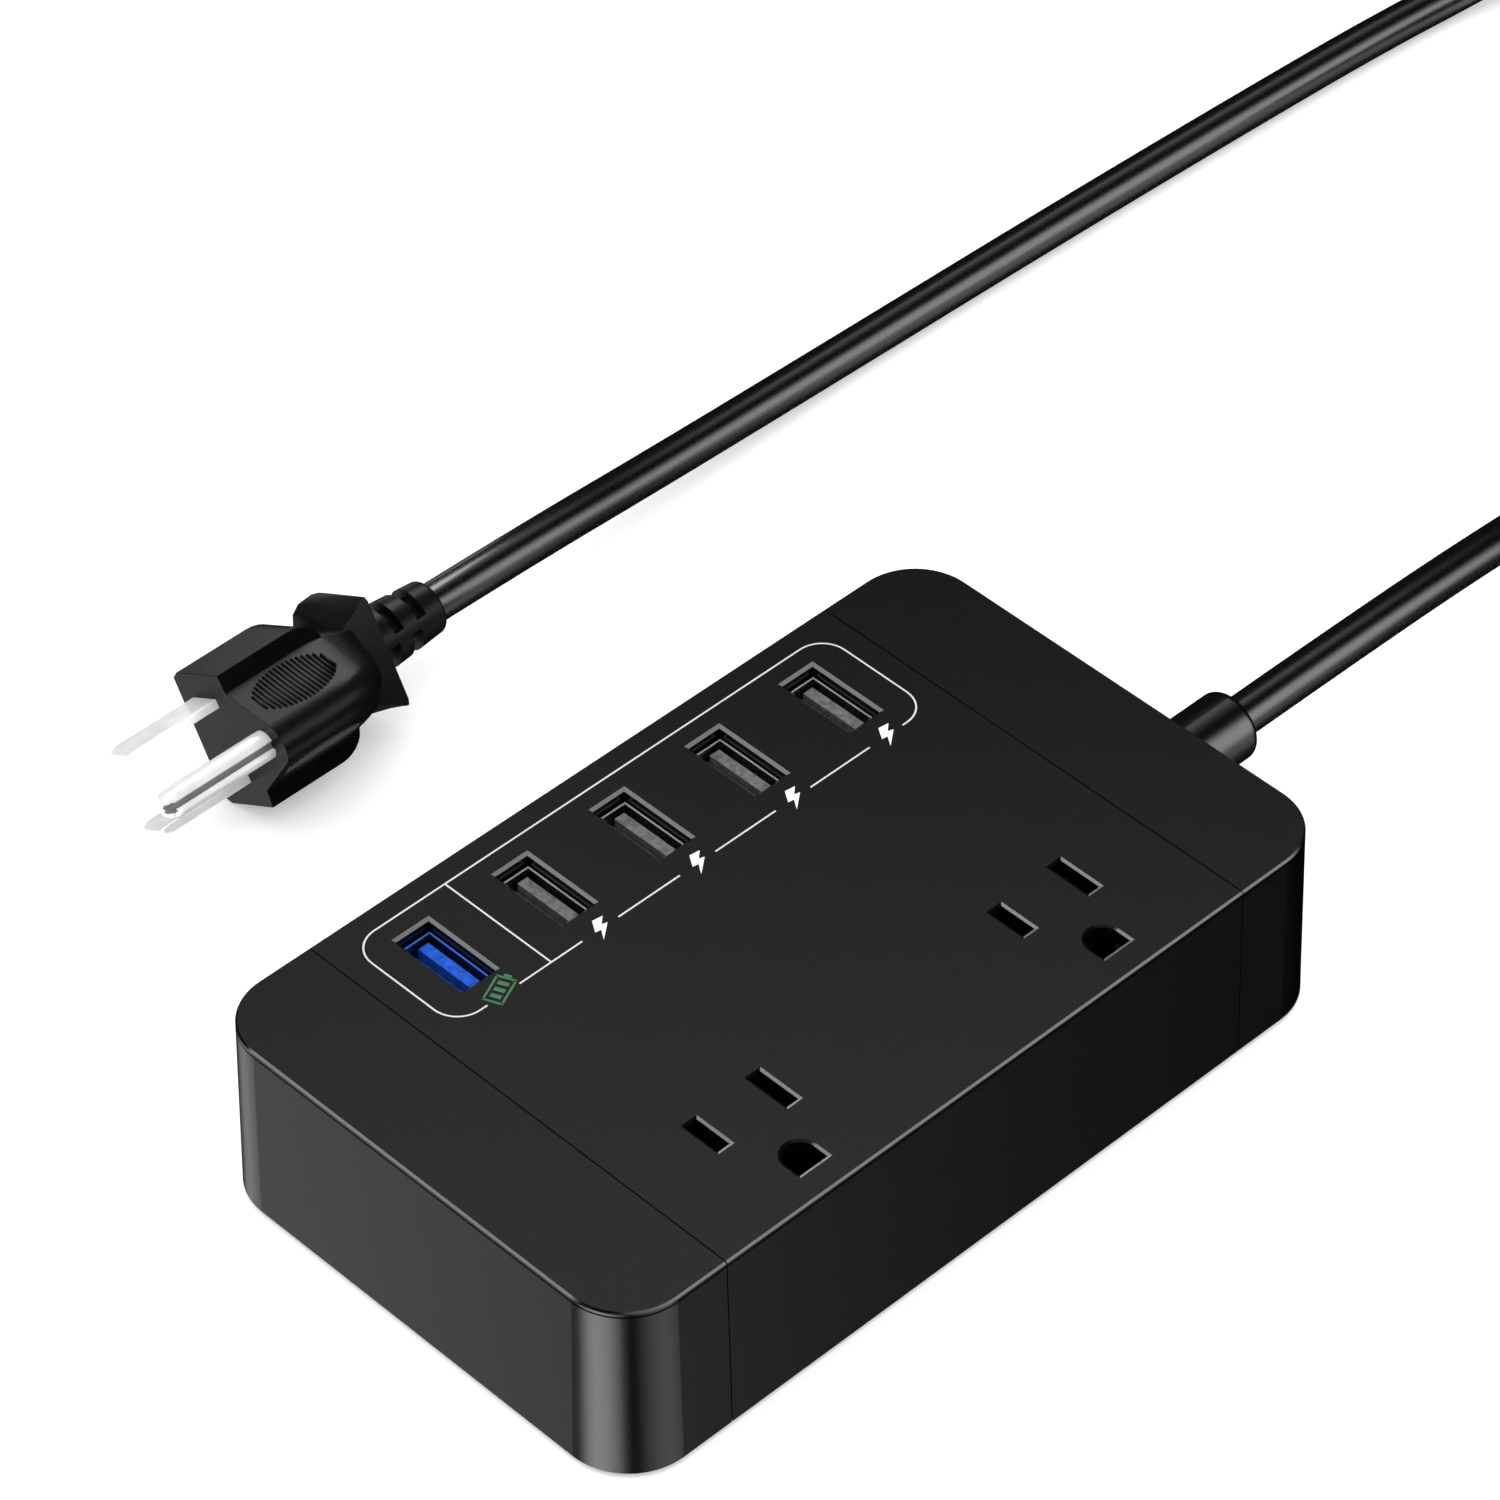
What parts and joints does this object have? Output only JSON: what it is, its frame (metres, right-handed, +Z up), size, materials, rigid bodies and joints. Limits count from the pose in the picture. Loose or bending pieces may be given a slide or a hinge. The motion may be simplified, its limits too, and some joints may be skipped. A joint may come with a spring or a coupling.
{
  "type": "power strip",
  "caption": "Desktop power strip with grounded outlets, a row of USB-A charging ports and a coiled mains cord with a grounded plug.",
  "frame": {"origin": "on the surface the strip stands on, under the centre of the casing", "axes": "+X along the casing to its cord end, +Y towards the USB row, +Z up"},
  "size_m": [0.4144, 0.1546, 0.0326],
  "materials": {
    "casing": "fine matt black moulded plastic",
    "rubber": "soft black rubber",
    "screw_steel": "zinc plated steel",
    "insulator": "black heat-resistant plastic",
    "brass": "bright stamped brass",
    "circuit_board": "green solder mask",
    "capacitor_sleeve": "shrink sleeve",
    "copper_coil": "enamelled copper wire",
    "component": "moulded epoxy",
    "aluminium": "mill finish",
    "ferrite": "sintered ferrite",
    "winding_tape": "polyester tape",
    "fuse_glass": "clear glass tube",
    "wire_black": "wire insulation",
    "wire_white": "wire insulation",
    "wire_green": "wire insulation",
    "wire_red": "wire insulation",
    "port_steel": "nickel plated steel shell",
    "tongue_grey": "dark grey plastic",
    "tongue_blue": "bright blue plastic",
    "cord": "satin black PVC jacket",
    "tie": "black releasable strap",
    "plug": "moulded black PVC",
    "prong": "nickel plated brass",
    "mark_white": "white pad-printed ink",
    "mark_green": "green pad-printed ink"
  },
  "bodies": {
    "root": {"base_cover": "casing", "base_screws": "screw_steel", "bridge_rectifier": "component", "casing_middle": "casing", "charger_board": "circuit_board", "charger_board_screws": "screw_steel", "charger_leads": "wire_black", "choke": "copper_coil", "coil_tie": "tie", "contact_tray": "insulator", "cord_case_run": "cord", "cord_clamp": "insulator", "cord_clamp_screws": "screw_steel", "cord_coil": "cord", "cord_gland": "cord", "cord_inner_end": "cord", "cord_plug_run": "cord", "end_cap_left": "casing", "end_cap_right": "casing", "fuse": "fuse_glass", "ground_bus_bar": "brass", "ground_wire": "wire_green", "heat_sink": "aluminium", "input_capacitors": "capacitor_sleeve", "line_bus_bar": "brass", "line_wire": "wire_black", "neutral_bus_bar": "brass", "neutral_wire": "wire_white", "output_capacitors": "capacitor_sleeve", "plug_blade_line": "prong", "plug_blade_neutral": "prong", "plug_body": "plug", "plug_ground_pin": "prong", "plug_strain_relief": "plug", "rubber_foot_1": "rubber", "rubber_foot_2": "rubber", "rubber_foot_3": "rubber", "rubber_foot_4": "rubber", "supply_leads": "wire_red", "switch_transistor": "component", "transformer_core": "ferrite", "transformer_winding": "winding_tape", "usb_board": "circuit_board", "usb_board_screws": "screw_steel", "usb_contacts": "brass", "usb_shell_1": "port_steel", "usb_shell_2": "port_steel", "usb_shell_3": "port_steel", "usb_shell_4": "port_steel", "usb_shell_5": "port_steel", "usb_tongue_1": "tongue_blue", "usb_tongue_2": "tongue_grey", "usb_tongue_3": "tongue_grey", "usb_tongue_4": "tongue_grey", "usb_tongue_5": "tongue_grey"}
  },
  "joints": []
}
